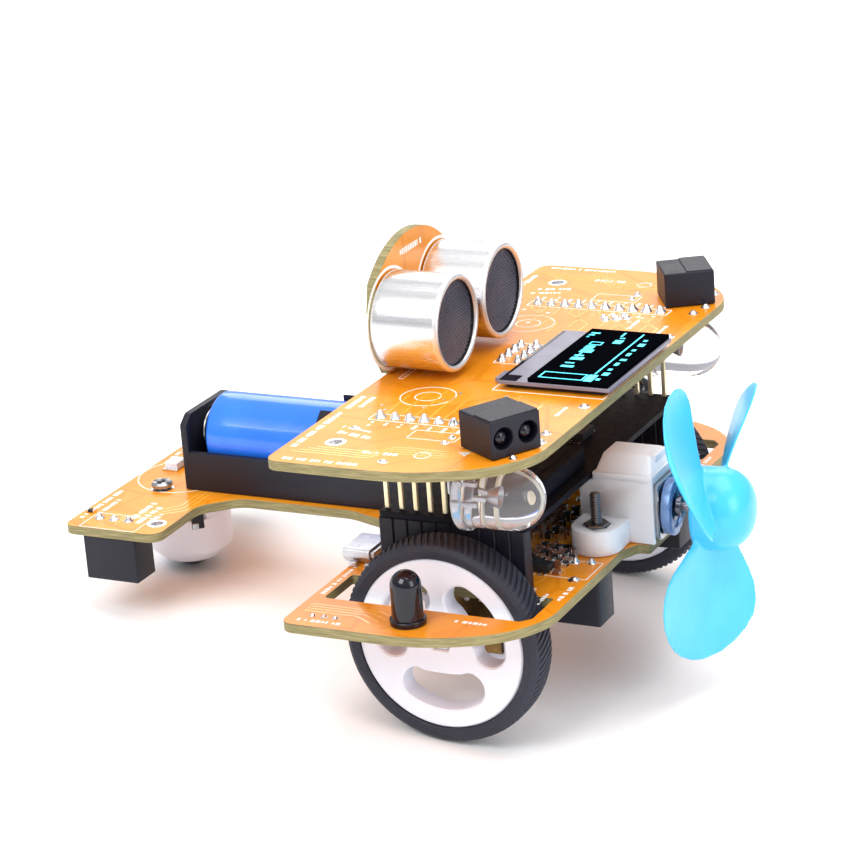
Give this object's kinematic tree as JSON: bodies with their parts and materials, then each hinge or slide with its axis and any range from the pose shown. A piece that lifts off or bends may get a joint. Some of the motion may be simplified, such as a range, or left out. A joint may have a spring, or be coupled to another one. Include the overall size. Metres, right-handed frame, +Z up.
{
  "type": "two wheel robot car",
  "caption": "Biplane-shaped robot car: stacked orange boards, driven wheels in wing slots, tail ball caster, nose fan, sonar eyes and a small display.",
  "frame": {"origin": "middle of the bounding box on the ground, under the car standing nose-up on its wheels and caster", "axes": "+X towards the fan at the nose, +Y left, +Z up"},
  "size_m": [0.1152, 0.1052, 0.0698],
  "materials": {
    "solder_mask": "orange solder mask over glass-fibre board, satin gloss",
    "black_plastic": "moulded black nylon, fine grain",
    "black_board": "black solder mask",
    "grille": "dark woven mesh",
    "can": "brushed, bright",
    "foam": "closed-cell pad",
    "display": "black display glass, polished",
    "clear_lens": "clear cast epoxy, polished",
    "cell_wrap": "blue shrink wrap",
    "white_plastic": "white nylon, slightly translucent",
    "tyre": "ribbed black rubber",
    "brass": "machined gearbox plates",
    "fan_plastic": "turquoise translucent plastic",
    "ball": "dark polished steel ball",
    "steel": "nickel-plated steel"
  },
  "bodies": {
    "chassis": {"lower_board": "solder_mask", "upper_board": "solder_mask", "socket_strip_right": "black_plastic", "pin_strip_right": "black_plastic", "socket_strip_left": "black_plastic", "pin_strip_left": "black_plastic", "controller_board": "black_board", "controller_module": "steel", "driver_chip": "black_plastic", "sonar_board": "solder_mask", "sonar_header": "black_plastic", "sonar_can_right": "can", "sonar_grille_right": "grille", "sonar_can_left": "can", "sonar_grille_left": "grille", "oled_pad": "foam", "oled_glass": "display", "ir_sensor_right": "black_plastic", "ir_sensor_left": "black_plastic", "line_sensor_front_right": "black_plastic", "line_sensor_front_left": "black_plastic", "line_sensor_tail_right": "black_plastic", "line_sensor_tail_left": "black_plastic", "headlight_right": "clear_lens", "receiver_right": "black_plastic", "headlight_left": "clear_lens", "receiver_left": "black_plastic", "battery_holder": "black_plastic", "battery_cell": "cell_wrap", "contact_rear": "steel", "contact_front": "steel", "tail_block": "white_plastic", "usb_inlet": "steel", "gearbox_right": "brass", "drive_motor_right": "steel", "motor_bracket_right": "white_plastic", "gearbox_left": "brass", "drive_motor_left": "steel", "motor_bracket_left": "white_plastic", "caster_housing": "white_plastic", "caster_screw_right": "steel", "caster_screw_left": "steel", "fan_motor": "steel", "fan_bracket": "white_plastic", "fan_screw_right": "steel", "fan_screw_left": "steel"},
    "wheel_right": {"hub_right": "white_plastic", "tyre_right": "tyre", "axle_right": "steel"},
    "wheel_left": {"hub_left": "white_plastic", "tyre_left": "tyre", "axle_left": "steel"},
    "fan_rotor": {"fan": "fan_plastic", "fan_shaft": "steel"},
    "caster_roller": {"caster_ball": "ball"}
  },
  "joints": [
    {"name": "wheel_right_spin", "type": "hinge", "parent": "chassis", "child": "wheel_right", "pos_m": [0.02014, -0.036, 0.017], "axis": [0, 1, 0], "continuous": true},
    {"name": "wheel_left_spin", "type": "hinge", "parent": "chassis", "child": "wheel_left", "pos_m": [0.02014, 0.036, 0.017], "axis": [0, 1, 0], "continuous": true},
    {"name": "fan_spin", "type": "hinge", "parent": "chassis", "child": "fan_rotor", "pos_m": [0.0508, -0.0016, 0.0325], "axis": [0.9878, 0.1132, 0.1073], "continuous": true},
    {"name": "caster_ball_roll", "type": "hinge", "parent": "chassis", "child": "caster_roller", "pos_m": [-0.04773, 0.001, 0.0047], "axis": [0, 1, 0], "continuous": true}
  ]
}
